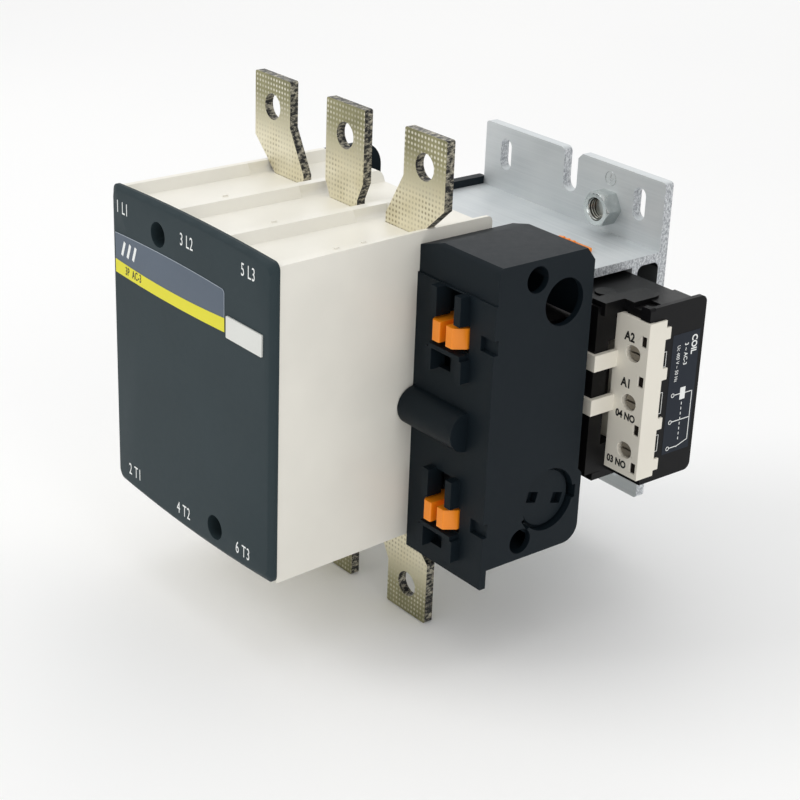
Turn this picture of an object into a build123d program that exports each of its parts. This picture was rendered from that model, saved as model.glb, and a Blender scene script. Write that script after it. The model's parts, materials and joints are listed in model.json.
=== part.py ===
from build123d import *
import os

# Three-pole power contactor on an aluminium mounting profile.
# Units are millimetres. +Z is up and the front faces -Y. The origin is the centre of the
# mounting plate's rear face. Depths are negative Y values, counted from that face.

# ---------------------------------------------------------------- driving dimensions
DEPTH = 181.0             # mounting face to the front of the marker plate
TERMINAL_SPAN = 197.0     # terminal tip to terminal tip
HOLE_SPAN = 172.0         # line hole to load hole
POLE_PITCH = 35.0
TERMINAL_PITCH = 48.0
TRAVEL = 9.0              # armature stroke
CONTACT_GAP = 7.5         # open distance between fixed and moving tips
FIT = 0.2                 # clearance round a part that slides or drops in
CUT = 1.0                 # how far a cutter runs past the face that it opens
SKIN = 0.5                # how far a rib or post reaches into the body that it grows from

# mounting profile
PLATE_WIDTH = 106.6
PLATE_HEIGHT = 137.0
PLATE_THICK = 4.4
PLATE_CORNER = 1.5
SLOT_X = 40.0
SLOT_Z = 56.5
SLOT_WIDTH = 6.6
SLOT_LENGTH = 13.6
WEB_TOP = 40.2            # outer face of each horizontal web
WEB_INNER = 36.5
PROFILE_DEPTH = 62.0
INNER_WALL_FRONT = -19.0
INNER_WALL_REAR = -16.0
VOID_CORNER = 3.0
NOTCH_X = -0.2
NOTCH_WIDTH = 8.2
NOTCH_BOTTOM = 51.0
NOTCH_MOUTH = 2.4         # round on the left of the notch's mouth, chamfer on the right
END_PLATE_THICK = 4.0
END_PLATE_REAR = -1.0
END_PLATE_HALF_HEIGHT = 43.5
END_PLATE_CORNER = 3.0

# earth stud and nut
EARTH_X = 23.2
EARTH_Z = 51.0
EARTH_STUD_R = 4.0
EARTH_TIP = -8.2          # the stud ends inside the nut
EARTH_HEAD_R = 5.8
EARTH_HEAD_FRONT = -1.6
EARTH_NUT_WIDTH = 13.0    # across flats
EARTH_NUT_FRONT = -12.0
EARTH_CHAMFER = 0.8

# coil latch
LATCH_FRONT = -32.0
LATCH_REAR = -27.5
LATCH_LEFT = 20.5
LATCH_SHOULDER = 34.5     # right end of the straight part and of the web's window
LATCH_TIP = 39.0
LATCH_THICK = 1.8
LATCH_WINDOW_LENGTH = 12.0
TONGUE_LENGTH = 5.0
GRIP_X = [LATCH_LEFT + 3.0 * step for step in (1, 2, 3)]

# pole block
BLOCK_LEFT = -69.4
BLOCK_RIGHT = 35.7
FRONT_RIGHT = 39.2        # right wall at its front edge; it tapers back to BLOCK_RIGHT
POLE_X = [-16.4 + POLE_PITCH * step for step in (-1, 0, 1)]
HOUSING_FRONT = -177.5
HOUSING_REAR = -78.0
HOUSING_TOP = 63.6
HOUSING_BOTTOM = 60.2     # depth below the centre line
HOUSING_CORNER = 2.5
TROUGH_DEPTH = 4.3
TROUGH_FLOOR_HALF = 13.3
TROUGH_CREST_HALF = 15.6
POCKET_FRONT = 10.0       # pocket round each terminal, ahead of and behind its front face
POCKET_REAR = 6.0
POCKET_CORNER = 2.2
CHAMBER_HALF_WIDTH = 14.5
CHAMBER_HALF_HEIGHT = 54.0
BASE_HALF_HEIGHT = 44.0
BASE_PLATE_HALF_HEIGHT = 55.0
BASE_PLATE_THICK = 5.0
BASE_SCREW_X = (-40.0, 12.0)
BASE_SCREW_Z = (-28.0, 28.0)
BASE_SCREW_R = 2.5
BASE_POST_R = 6.0
BASE_WELL_R = 5.0
BASE_WELL_DEPTH = 5.5
CHEEK_THICK = 2.5
CHEEK_FRONT = -100.0
CHEEK_REAR = -49.0
CHEEK_HALF_HEIGHT = 62.5
CHEEK_CORNER = 11.0
PEDESTAL_HALF_WIDTH = 8.0
PEDESTAL_LOW = 30.0

# terminals and contacts
TERMINAL_FRONT = -108.7
TERMINAL_THICK = 3.8
TERMINAL_HOLE_R = 5.25
TERMINAL_CORNER = 0.9
TERMINAL_SCREW_Z = 37.0
TERMINAL_SCREW_R = 2.5
TERMINAL_SCREW_TIP = HOUSING_REAR - 8.0
ROOT_WIDTH = 17.2
TIP_WIDTH = 24.0
CONTACT_Z = 21.0          # height of each contact tip above and below the pole centre
TIP_THICK = 2.0
TIP_HALF_WIDTH = 6.0
TIP_HALF_HEIGHT = 4.5
CHUTE_FRONT = -173.0
CHUTE_REAR = -126.0
CHUTE_HALF_WIDTH = 13.0
CHUTE_NOTCH_HALF_WIDTH = 6.0
CHUTE_NOTCH_DEPTH = 14.0
SPLITTER_Z = [28.5 + 3.3 * step for step in range(5)]
SPLITTER_THICK = 1.4
BOARD_THICK = 1.3
BOARD_LOW = 27.5
BOARD_HIGH = 43.3

# front cover
COVER_FRONT = -180.4
COVER_RIGHT = 39.8
COVER_TOP = 65.0          # at the corners; the edge bows out to COVER_TOP_MID
COVER_TOP_MID = 66.4
COVER_BOTTOM = -59.6
COVER_BOTTOM_MID = -61.8
COVER_CORNER = 3.0
COVER_RIM = 1.4           # straight rim behind the bevelled front
COVER_BEVEL = 2.2
COVER_SCREWS = [(-35.2, 54.0), (2.6, -52.0)]
WELL_REAR = -165.0
WELL_FLOOR = 2.0
WELL_R = 4.9
WELL_OUTER_R = 6.0
COVER_SCREW_R = 2.4
COVER_POST_REAR = -135.0
LABEL_LEFT = BLOCK_LEFT + 3.2
LABEL_RIGHT = 9.6
LABEL_TOP = 46.4
LABEL_BOTTOM = 30.2
LABEL_BOW = 0.9
LABEL_CORNER = 1.6
LABEL_DEPTH = 0.5
MARKER_LEFT = 11.2
MARKER_RIGHT = 33.8
MARKER_TOP = 37.2
MARKER_BOTTOM = 28.8
MARKER_DEPTH = 1.0

# magnet cover
COVER2_RIGHT = 79.7
COVER2_FRONT = -113.2
COVER2_REAR = -66.5
COVER2_TOP = 62.3
COVER2_BOTTOM = -57.5
STEP_TOP = -27.0          # below it the cover is STEP_DEPTH deeper, to house the locking cap
STEP_DEPTH = 2.0
PANEL_TOP = 58.0
PANEL_BOTTOM = -65.0
PANEL_REAR = -110.4
PANEL_STEP_Z = 48.3       # above it the panel is PANEL_STEP thinner
PANEL_STEP = 0.8
MODULE_WALL = 2.6
STATION_X = 56.7
STATION_Z = [31.6, -41.4]
RAIL_HEIGHT = 4.0
BOSS_Z = -4.5
BOSS_R = 7.8
BOSS_RIGHT = 67.5
SIDE_HOLE_Y = -80.4
SIDE_HOLE_Z = 43.7
SIDE_HOLE_R = 9.2
MAGNET_SCREW_Y = -94.2
MAGNET_SCREW_Z = [54.8, -49.9]
MAGNET_WELL_R = 5.1
MAGNET_HEAD_R = 3.6
CAP_Y = -81.2
CAP_Z = -36.0
CAP_R = 11.62
CAP_LEFT = 72.6
CAP_RIGHT = 77.6
KEY_OFFSET = 6.6

# moving system
BEAM_FRONT = -106.0
BEAM_REAR = -90.0
BEAM_HALF_HEIGHT = 8.0
CARRIER_RIGHT = 71.0
CAGE_FRONT = -143.0
CAGE_HALF_WIDTH = 10.7
CAGE_OPENING_HALF = 8.2
CAGE_BAR = 4.0
BRIDGE_THICK = 3.0
BRIDGE_HALF_WIDTH = 7.0
BRIDGE_HALF_LENGTH = 26.5
BRIDGE_REAR = TERMINAL_FRONT - 2 * TIP_THICK - CONTACT_GAP
SPRING_X = [-33.9, 1.1]
SPRING_SEAT = -65.0
SPRING_WELL_R = 6.6
SPRING_SOCKET = 1.5
UPRIGHT_REAR = -98.0
PIN_Y = -93.6
PIN_R = 2.5

# electromagnet
CORE_LEFT = 39.5
CORE_RIGHT = 71.9
CORE_HALF_HEIGHT = 33.0
OUTER_LEG = 22.0          # inner face of each outer leg
CENTRE_LEG = 9.5
ARMATURE_FACE = -61.5     # armature pole faces at rest
ARMATURE_YOKE_FRONT = -76.0
FIXED_FACE = ARMATURE_FACE + TRAVEL + FIT
CORE_BACK = -22.5
YOKE_FRONT = -31.0
RING_LOW = 24.5
RING_HIGH = 31.0
RING_WIDTH = 1.8
RING_DEPTH = 2.0
PAD_LOW = 14.0
PAD_HIGH = 30.0
PAD_THICK = 1.5
WINDING_HALF_HEIGHT = 20.6
WINDING_CORNER = 6.0
TUBE_GAP = 0.3            # between the centre leg and the bobbin
TUBE_WALL = 1.2
FLANGE_FRONT = -46.4
FLANGE_REAR = YOKE_FRONT - FIT
FLANGE_THICK = 1.2

# coil unit
COIL_LEFT = 25.0
COIL_WAIST = 77.0         # left of it the case is deep; right of it stands the terminal strip
COIL_RIGHT = 91.5
COIL_TOP = 34.4
COIL_BOTTOM = -36.2
COIL_CREST = 36.2
COIL_FRONT = -52.0
DECK_LEFT = 69.5
PLATE_RIGHT = 93.5
NOSE_LEFT = 88.6          # front return of the label plate, above the strip
NOSE_LOW = 33.2
NOSE_HIGH = 38.5
STRIP_FRONT = -49.9
STRIP_REAR = -46.9
STRIP_RIGHT = 94.5
STRIP_BOTTOM = -31.0
STRIP_TOP = 33.0
STRIP_TEETH_Z = (27.5, 11.0, -9.5, -26.5)
SCREW_X = 86.9
SCREW_Z = [18.9, -1.0, -20.8]
SCREW_HEAD_FRONT = -48.4
SCREW_HEAD_R = 3.0
SCREW_SHANK_R = 1.4
CLAMP_FRONT = -44.7
CLAMP_REAR = -43.5
WINDOW_Z = [25.2, 9.1, -10.8, -26.6]
TAB_Z = [14.4, -3.7]


# ---------------------------------------------------------------- helpers
def block(x0, x1, y0, y1, z0, z1):
    """Box between two corners."""
    centre = Pos((x0 + x1) / 2, (y0 + y1) / 2, (z0 + z1) / 2)
    return centre * Box(abs(x1 - x0), abs(y1 - y0), abs(z1 - z0))


def rod_x(x0, x1, y, z, radius):
    return Pos((x0 + x1) / 2, y, z) * Rot(0, 90, 0) * Cylinder(radius, abs(x1 - x0))


def rod_y(x, y0, y1, z, radius):
    return Pos(x, (y0 + y1) / 2, z) * Rot(90, 0, 0) * Cylinder(radius, abs(y1 - y0))


def rod_z(x, y, z0, z1, radius):
    return Pos(x, y, (z0 + z1) / 2) * Cylinder(radius, abs(z1 - z0))


def front_plate(face, y0, y1):
    """Solid between two depths whose outline is a sketch drawn in X and Z."""
    rear = max(y0, y1)
    return extrude(Plane.XZ.offset(-rear) * face, amount=abs(y1 - y0))


def flipped(shape):
    """The same piece on the load side, below the centre line."""
    return mirror(shape, about=Plane.XY)


def both_sides(shape):
    return shape + flipped(shape)


def sum_of(shapes):
    shapes = list(shapes)
    total = shapes[0]
    for shape in shapes[1:]:
        total += shape
    return total


def slot_face(x, z, width, length):
    """Upright slot outline."""
    return Pos(x, z) * Rot(0, 0, 90) * SlotOverall(length, width)


def coil_spring(x, y_front, y_rear, radius, wire, turns):
    """Helical compression spring on the centre line, a wire's radius clear of both seats."""
    height = abs(y_rear - y_front) - wire - FIT
    line = Helix(pitch=height / turns, height=height, radius=radius)
    section = Plane(origin=line @ 0, z_dir=line % 0) * Circle(wire / 2)
    spring = sweep(section, path=line, is_frenet=True)
    return Pos(x, y_rear - (wire + FIT) / 2, 0) * Rot(90, 0, 0) * spring


def cheese_head_screw(x, z, y_head, head_r, head_length, shank_r, y_tip, slot=1.2):
    """Screw along Y whose slotted head starts at y_head, its front face."""
    head = rod_y(x, y_head, y_head + head_length, z, head_r)
    head -= block(x - head_r, x + head_r, y_head, y_head + head_length / 2, z - slot / 2, z + slot / 2)
    return head + rod_y(x, y_head + head_length, y_tip, z, shank_r)


# ---------------------------------------------------------------- mounting profile
def base_extrusion():
    half = PLATE_WIDTH / 2
    channel = block(-half, half, -PROFILE_DEPTH, -PLATE_THICK / 2, -WEB_TOP, WEB_TOP)
    chamber = block(-half, half, -PROFILE_DEPTH - CUT, INNER_WALL_FRONT, -WEB_INNER, WEB_INNER)
    void = block(-half, half, INNER_WALL_REAR, -PLATE_THICK, -WEB_INNER, WEB_INNER)
    void = fillet(void.edges().filter_by(Axis.X), VOID_CORNER)
    body = mounting_plate() + channel - chamber - void
    for x in (-SLOT_X, SLOT_X):
        slot = front_plate(slot_face(x, SLOT_Z, SLOT_WIDTH, SLOT_LENGTH), -PLATE_THICK - CUT, CUT)
        body -= both_sides(slot)
    body -= rod_y(EARTH_X, -PLATE_THICK - CUT, CUT, EARTH_Z, EARTH_STUD_R)
    body -= rod_y(EARTH_X, EARTH_HEAD_FRONT, CUT, EARTH_Z, EARTH_HEAD_R + FIT)
    for x, z in base_screw_places():
        body -= rod_y(x, INNER_WALL_FRONT - CUT, INNER_WALL_REAR + CUT, z, BASE_SCREW_R)
    latch_window = block(LATCH_SHOULDER - LATCH_WINDOW_LENGTH, LATCH_SHOULDER,
                         LATCH_FRONT - CUT, LATCH_REAR + CUT, WEB_INNER - CUT, WEB_TOP + CUT)
    return body - latch_window


def mounting_plate():
    """Plate with a round-bottomed notch above and below, one mouth corner round, one cut."""
    half, top = PLATE_WIDTH / 2, PLATE_HEIGHT / 2
    round_centre = NOTCH_BOTTOM + NOTCH_WIDTH / 2
    face = Rectangle(PLATE_WIDTH, PLATE_HEIGHT)
    for side in (-1, 1):
        straight = top - round_centre
        face -= Pos(NOTCH_X, side * round_centre) * Circle(NOTCH_WIDTH / 2)
        face -= Pos(NOTCH_X, side * (round_centre + straight / 2)) * Rectangle(NOTCH_WIDTH, straight)
    plate = front_plate(face, -PLATE_THICK, 0)
    for x in (-half, half):
        plate = fillet(corner_edges(plate, x, top), PLATE_CORNER)
    plate = fillet(corner_edges(plate, NOTCH_X - NOTCH_WIDTH / 2, top), NOTCH_MOUTH)
    return chamfer(corner_edges(plate, NOTCH_X + NOTCH_WIDTH / 2, top), NOTCH_MOUTH)


def corner_edges(plate, x, z):
    """Edges along Y at one X, at the plate's top and bottom."""
    near = 0.1
    edges = plate.edges().filter_by(Axis.Y).filter_by_position(Axis.X, x - near, x + near)
    return [edge for edge in edges if abs(abs(edge.center().Z) - z) < near]


def base_screw_places():
    return [(x, z) for x in BASE_SCREW_X for z in BASE_SCREW_Z]


def earth_stud():
    """Stud pressed in from behind; its head sits in the plate's counterbore."""
    stud = rod_y(EARTH_X, EARTH_TIP, EARTH_HEAD_FRONT, EARTH_Z, EARTH_STUD_R)
    stud = chamfer(stud.edges().sort_by(Axis.Y)[0], EARTH_CHAMFER)
    return stud + rod_y(EARTH_X, EARTH_HEAD_FRONT, -FIT, EARTH_Z, EARTH_HEAD_R)


def earth_nut():
    """Hexagon nut with a chamfered front and an open threaded bore."""
    outline = Pos(EARTH_X, EARTH_Z) * RegularPolygon(EARTH_NUT_WIDTH / 3 ** 0.5, 6)
    nut = front_plate(outline, EARTH_NUT_FRONT, -PLATE_THICK)
    dome = rod_y(EARTH_X, EARTH_NUT_FRONT, -PLATE_THICK, EARTH_Z, EARTH_NUT_WIDTH / 2 + EARTH_CHAMFER)
    dome = chamfer(dome.edges().sort_by(Axis.Y)[0], EARTH_CHAMFER)
    bore_r = EARTH_STUD_R + FIT / 4
    bore = rod_y(EARTH_X, EARTH_NUT_FRONT - CUT, -PLATE_THICK + CUT, EARTH_Z, bore_r)
    mouth = Pos(EARTH_X, EARTH_NUT_FRONT + bore_r / 2, EARTH_Z) * Rot(90, 0, 0)
    mouth = mouth * Cone(bore_r - EARTH_CHAMFER, bore_r + EARTH_CHAMFER, bore_r)
    return (nut & dome) - bore - mouth


def left_end_plate():
    right = -PLATE_WIDTH / 2
    plate = block(right - END_PLATE_THICK, right, -PROFILE_DEPTH, END_PLATE_REAR,
                  -END_PLATE_HALF_HEIGHT, END_PLATE_HALF_HEIGHT)
    return fillet(plate.edges().filter_by(Axis.X), END_PLATE_CORNER)


def coil_latch():
    """Slide on the top web that holds the coil unit; its tongue stands in the web's window."""
    low = WEB_TOP + FIT
    body = make_face(Polyline((LATCH_LEFT, LATCH_FRONT), (LATCH_SHOULDER, LATCH_FRONT),
                              (LATCH_TIP, LATCH_REAR - 1.5), (LATCH_TIP, LATCH_REAR),
                              (LATCH_LEFT, LATCH_REAR), close=True))
    body = extrude(Plane.XY.offset(low) * body, amount=LATCH_THICK)
    tongue_right = LATCH_SHOULDER - SKIN
    tongue = block(tongue_right - TONGUE_LENGTH, tongue_right, LATCH_FRONT + SKIN, LATCH_REAR - SKIN,
                   WEB_INNER + FIT, low)
    ribs = [block(x, x + 1.2, LATCH_FRONT + 1.0, LATCH_REAR - 1.0, low + LATCH_THICK - 0.3,
                  low + LATCH_THICK + 0.8) for x in GRIP_X]
    return body + tongue + sum_of(ribs)


# ---------------------------------------------------------------- pole block
def pole_base():
    """Moulded base between the profile and the arc chambers, with its left cheek."""
    body = block(BLOCK_LEFT, BLOCK_RIGHT, HOUSING_REAR, -PROFILE_DEPTH,
                 -BASE_HALF_HEIGHT, BASE_HALF_HEIGHT)
    body += block(BLOCK_LEFT, BLOCK_RIGHT, HOUSING_REAR, HOUSING_REAR + BASE_PLATE_THICK,
                  -BASE_PLATE_HALF_HEIGHT, BASE_PLATE_HALF_HEIGHT)
    body += side_cheek()
    for x, z in base_screw_places():
        body += rod_y(x, -PROFILE_DEPTH, INNER_WALL_FRONT, z, BASE_POST_R)
        body -= rod_y(x, HOUSING_REAR - CUT, INNER_WALL_FRONT + CUT, z, BASE_SCREW_R + FIT)
        body -= rod_y(x, HOUSING_REAR - CUT, HOUSING_REAR + BASE_WELL_DEPTH, z, BASE_WELL_R)
    for x in POLE_X:
        body += both_sides(pedestal(x))
    for x in SPRING_X:
        body -= rod_y(x, HOUSING_REAR - CUT, SPRING_SEAT, 0, SPRING_WELL_R)
    return body


def side_cheek():
    cheek = block(BLOCK_LEFT - CHEEK_THICK, BLOCK_LEFT, CHEEK_FRONT, CHEEK_REAR,
                  -CHEEK_HALF_HEIGHT, CHEEK_HALF_HEIGHT)
    rear_corners = cheek.edges().filter_by(Axis.X).sort_by(Axis.Y)[-2:]
    return fillet(rear_corners, CHEEK_CORNER)


def pedestal(x):
    """Column that one terminal is screwed to."""
    body = block(x - PEDESTAL_HALF_WIDTH, x + PEDESTAL_HALF_WIDTH, TERMINAL_FRONT + TERMINAL_THICK,
                 HOUSING_REAR, PEDESTAL_LOW, BASE_HALF_HEIGHT)
    return body - rod_y(x, TERMINAL_FRONT, TERMINAL_SCREW_TIP, TERMINAL_SCREW_Z, TERMINAL_SCREW_R)


def base_screws():
    head_r, head_length = 4.6, 5.0
    screws = [cheese_head_screw(x, z, HOUSING_REAR + SKIN, head_r, head_length, BASE_SCREW_R,
                                INNER_WALL_REAR) for x, z in base_screw_places()]
    return Compound(children=screws)


def pole_housing():
    """Moulded block of three arc chambers, open at the front and at the rear."""
    body = housing_envelope()
    body = fillet(body.edges().filter_by(Axis.X).sort_by(Axis.Y)[-2:], HOUSING_CORNER)
    for index, x in enumerate(POLE_X):
        body -= block(x - CHAMBER_HALF_WIDTH, x + CHAMBER_HALF_WIDTH, HOUSING_FRONT - CUT,
                      HOUSING_REAR + CUT, -CHAMBER_HALF_HEIGHT, CHAMBER_HALF_HEIGHT)
        body -= terminal_trough(x, HOUSING_TOP) + flipped(terminal_trough(x, HOUSING_BOTTOM))
        body -= both_sides(terminal_slot(index))
    way = BEAM_HALF_HEIGHT + 1.5
    body -= block(POLE_X[0], BLOCK_RIGHT + CUT, BEAM_FRONT - 2.5, HOUSING_REAR + CUT, -way, way)
    for x, z in COVER_SCREWS:
        body += rod_y(x, WELL_REAR, COVER_POST_REAR, z, WELL_OUTER_R + FIT) & housing_envelope()
        body -= rod_y(x, HOUSING_FRONT - CUT, WELL_REAR, z, WELL_OUTER_R + 0.3)
        body -= rod_y(x, WELL_REAR - CUT, COVER_POST_REAR - 5.0, z, COVER_SCREW_R + 0.1)
    for z in MAGNET_SCREW_Z:
        post_left, post_r, pilot_r = 20.0, 4.5, 2.1
        body += rod_x(post_left, BLOCK_RIGHT - 1.0, MAGNET_SCREW_Y, z, post_r) & housing_envelope()
        body -= rod_x(post_left - 2.0, BLOCK_RIGHT + CUT, MAGNET_SCREW_Y, z, pilot_r)
    return body


def housing_envelope():
    """Outer block of the housing; its right wall widens towards the front."""
    outline = make_face(Polyline(
        (BLOCK_LEFT, HOUSING_REAR), (BLOCK_LEFT, HOUSING_FRONT), (FRONT_RIGHT, HOUSING_FRONT),
        (BLOCK_RIGHT, COVER2_FRONT), (BLOCK_RIGHT, HOUSING_REAR), close=True))
    return extrude(Plane.XY.offset(-HOUSING_BOTTOM) * outline, amount=HOUSING_BOTTOM + HOUSING_TOP)


def terminal_trough(x, height):
    """Cuts in one face of the housing over one pole: sloping-sided trough with an upright pocket."""
    floor, crest = TROUGH_FLOOR_HALF, TROUGH_CREST_HALF
    depth = height - TROUGH_DEPTH
    section = make_face(Polyline((x - floor, depth), (x + floor, depth), (x + crest, height),
                                 (x + crest, height + CUT), (x - crest, height + CUT),
                                 (x - crest, height), close=True))
    trough = front_plate(section, HOUSING_FRONT - CUT, HOUSING_REAR + CUT)
    pocket = block(x - crest, x + crest, TERMINAL_FRONT - POCKET_FRONT, TERMINAL_FRONT + POCKET_REAR,
                   depth, height + CUT)
    low_corners = pocket.edges().filter_by(Axis.Y).sort_by(Axis.Z)[:2]
    return trough + fillet(low_corners, POCKET_CORNER)


def terminal_slot(index):
    """Slot that one terminal stands in, a little larger than the terminal all round."""
    outline = offset(terminal_outline(index), FIT)
    return front_plate(outline, TERMINAL_FRONT - FIT, TERMINAL_FRONT + TERMINAL_THICK + FIT)


def terminal_outline(index):
    """Line terminal of one pole: straight root, then a step out to the wider tip."""
    x = POLE_X[index]
    side = index - 1
    tip = x + side * (TERMINAL_PITCH - POLE_PITCH)
    root, wide, top = ROOT_WIDTH / 2, TIP_WIDTH / 2, TERMINAL_SPAN / 2
    near, far = (63.0, 80.0), (57.2, 72.2)    # foot and bend heights, facing the middle pole or not
    left = {-1: far, 0: (59.0, 66.0), 1: near}[side]
    right = {-1: near, 0: (62.5, 70.0), 1: far}[side]
    return make_face(Polyline(
        (x - root, CONTACT_Z - 5.0), (x + root, CONTACT_Z - 5.0), (x + root, right[0]),
        (tip + wide, right[1]), (tip + wide, top), (tip - wide, top),
        (tip - wide, left[1]), (x - root, left[0]), close=True))


def terminal(index):
    x = POLE_X[index]
    tip = x + (index - 1) * (TERMINAL_PITCH - POLE_PITCH)
    plate = front_plate(terminal_outline(index), TERMINAL_FRONT, TERMINAL_FRONT + TERMINAL_THICK)
    tip_corners = plate.edges().filter_by(Axis.Y).sort_by(Axis.Z)[-2:]
    plate = fillet(tip_corners, TERMINAL_CORNER)
    for hole_x, z, radius in ((tip, HOLE_SPAN / 2, TERMINAL_HOLE_R),
                              (x, TERMINAL_SCREW_Z, TERMINAL_SCREW_R + FIT)):
        plate -= rod_y(hole_x, TERMINAL_FRONT - CUT, TERMINAL_FRONT + TERMINAL_THICK + CUT, z, radius)
    return plate


def terminal_screws():
    head_r, head_length = 4.4, 3.5
    screws = []
    for x in POLE_X:
        screw = cheese_head_screw(x, TERMINAL_SCREW_Z, TERMINAL_FRONT - head_length, head_r,
                                  head_length, TERMINAL_SCREW_R, TERMINAL_SCREW_TIP)
        screws += [screw, flipped(screw)]
    return Compound(children=screws)


def contact_pads(y0, y1):
    """Six square contact tips, one above and one below each pole's centre."""
    pads = []
    for x in POLE_X:
        pad = block(x - TIP_HALF_WIDTH, x + TIP_HALF_WIDTH, y0, y1,
                    CONTACT_Z - TIP_HALF_HEIGHT, CONTACT_Z + TIP_HALF_HEIGHT)
        pad = fillet(pad.edges().filter_by(Axis.Y), 1.5)
        pads += [pad, flipped(pad)]
    return Compound(children=pads)


def arc_chute(x):
    """Stacks of notched splitter plates above and below one pole's contacts."""
    wide, notch = CHUTE_HALF_WIDTH, CHUTE_NOTCH_HALF_WIDTH
    outline = make_face(Polyline(
        (x - wide, CHUTE_FRONT), (x + wide, CHUTE_FRONT), (x + wide, CHUTE_REAR),
        (x + notch, CHUTE_REAR), (x, CHUTE_REAR - CHUTE_NOTCH_DEPTH), (x - notch, CHUTE_REAR),
        (x - wide, CHUTE_REAR), close=True))
    plates = []
    for z in SPLITTER_Z:
        plate = extrude(Plane.XY.offset(z) * outline, amount=SPLITTER_THICK)
        plates += [plate, flipped(plate)]
    return Compound(children=plates)


def arc_chute_boards():
    """Insulating boards that hold each stack of splitter plates."""
    boards = []
    for x in POLE_X:
        for side in (-1, 1):
            inner = x + side * CHUTE_HALF_WIDTH
            board = block(inner, inner + side * BOARD_THICK, CHUTE_FRONT - 2.0, CHUTE_REAR + 3.0,
                          BOARD_LOW, BOARD_HIGH)
            boards += [board, flipped(board)]
    return Compound(children=boards)


# ---------------------------------------------------------------- front cover
def bowed_outline(inset):
    """Cover outline: straight sides, top and bottom edges bowed outwards."""
    left, right = BLOCK_LEFT + inset, COVER_RIGHT - inset
    middle = (left + right) / 2
    top = ThreePointArc((left, COVER_TOP - inset), (middle, COVER_TOP_MID - inset),
                        (right, COVER_TOP - inset))
    bottom = ThreePointArc((left, COVER_BOTTOM + inset), (middle, COVER_BOTTOM_MID + inset),
                           (right, COVER_BOTTOM + inset))
    sides = [Line(bottom @ 0, top @ 0), Line(bottom @ 1, top @ 1)]
    face = make_face([top, bottom] + sides)
    return fillet(face.vertices(), COVER_CORNER)


def front_cover():
    rim_front = HOUSING_FRONT - COVER_RIM
    body = front_plate(bowed_outline(0), rim_front, HOUSING_FRONT)
    rear_face = Plane.XZ.offset(-rim_front) * bowed_outline(0)
    front_face = Plane.XZ.offset(-COVER_FRONT) * bowed_outline(COVER_BEVEL)
    body += loft([rear_face, front_face])
    for x, z in COVER_SCREWS:
        body += rod_y(x, HOUSING_FRONT, WELL_REAR, z, WELL_OUTER_R)
        body -= rod_y(x, COVER_FRONT - CUT, WELL_REAR - WELL_FLOOR, z, WELL_R)
        body -= rod_y(x, WELL_REAR - WELL_FLOOR - CUT, WELL_REAR + CUT, z, COVER_SCREW_R + 0.3)
    body -= front_plate(label_outline(), COVER_FRONT - CUT, COVER_FRONT + LABEL_DEPTH)
    body -= block(MARKER_LEFT, MARKER_RIGHT, COVER_FRONT - CUT, COVER_FRONT + MARKER_DEPTH,
                  MARKER_BOTTOM, MARKER_TOP)
    return body


def cover_screws():
    head_r, head_length = 4.4, 4.5
    head_front = WELL_REAR - WELL_FLOOR - head_length
    screws = [cheese_head_screw(x, z, head_front, head_r, head_length, COVER_SCREW_R,
                                COVER_POST_REAR - 6.0) for x, z in COVER_SCREWS]
    return Compound(children=screws)


def label_outline():
    """Label with slightly bowed long edges and one rounded corner."""
    middle = (LABEL_LEFT + LABEL_RIGHT) / 2
    top = ThreePointArc((LABEL_LEFT, LABEL_TOP), (middle, LABEL_TOP + LABEL_BOW),
                        (LABEL_RIGHT, LABEL_TOP))
    bottom = ThreePointArc((LABEL_LEFT, LABEL_BOTTOM), (middle, LABEL_BOTTOM - LABEL_BOW),
                           (LABEL_RIGHT, LABEL_BOTTOM))
    face = make_face([top, bottom, Line(bottom @ 0, top @ 0), Line(bottom @ 1, top @ 1)])
    return fillet(face.vertices().sort_by(Axis.X)[-2:].sort_by(Axis.Y)[-1], LABEL_CORNER)


def front_label():
    return front_plate(label_outline(), COVER_FRONT - 0.1, COVER_FRONT + LABEL_DEPTH)


def marker_plate():
    plate = block(MARKER_LEFT, MARKER_RIGHT, -DEPTH, COVER_FRONT + MARKER_DEPTH,
                  MARKER_BOTTOM, MARKER_TOP)
    return fillet(plate.edges().filter_by(Axis.Y), 0.5)


# ---------------------------------------------------------------- magnet cover
def magnet_cover():
    """Deep moulded cover over the armature, with two seats for add-on contact blocks."""
    left, right = BLOCK_RIGHT, COVER2_RIGHT
    body = cover_shell()
    body += block(left, right, COVER2_FRONT, PANEL_REAR, PANEL_BOTTOM, PANEL_TOP - SKIN)
    body -= block(left - CUT, right + CUT, COVER2_FRONT - CUT, COVER2_FRONT + PANEL_STEP,
                  PANEL_STEP_Z, COVER2_TOP + CUT)
    body += boss()
    for zc in STATION_Z:
        body += station_rails(zc)
        body -= station_window(zc)
    beam_way = BEAM_HALF_HEIGHT + 7.0
    body -= block(left - CUT, left + MODULE_WALL + CUT, PANEL_REAR, HOUSING_REAR - CUT,
                  -beam_way, beam_way)
    inside = right - 2 * MODULE_WALL
    body -= rod_x(inside - 4.0, right + CUT, SIDE_HOLE_Y, SIDE_HOLE_Z, SIDE_HOLE_R)
    for z in MAGNET_SCREW_Z:
        body -= rod_x(inside - 4.0, right + CUT, MAGNET_SCREW_Y, z, MAGNET_WELL_R)
        body -= rod_x(left - CUT, left + 9.3, MAGNET_SCREW_Y, z, 2.2)
        body -= rod_x(left + MODULE_WALL, left + 10.3, MAGNET_SCREW_Y, z, MAGNET_HEAD_R + FIT)
    return cap_socket(body)


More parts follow.
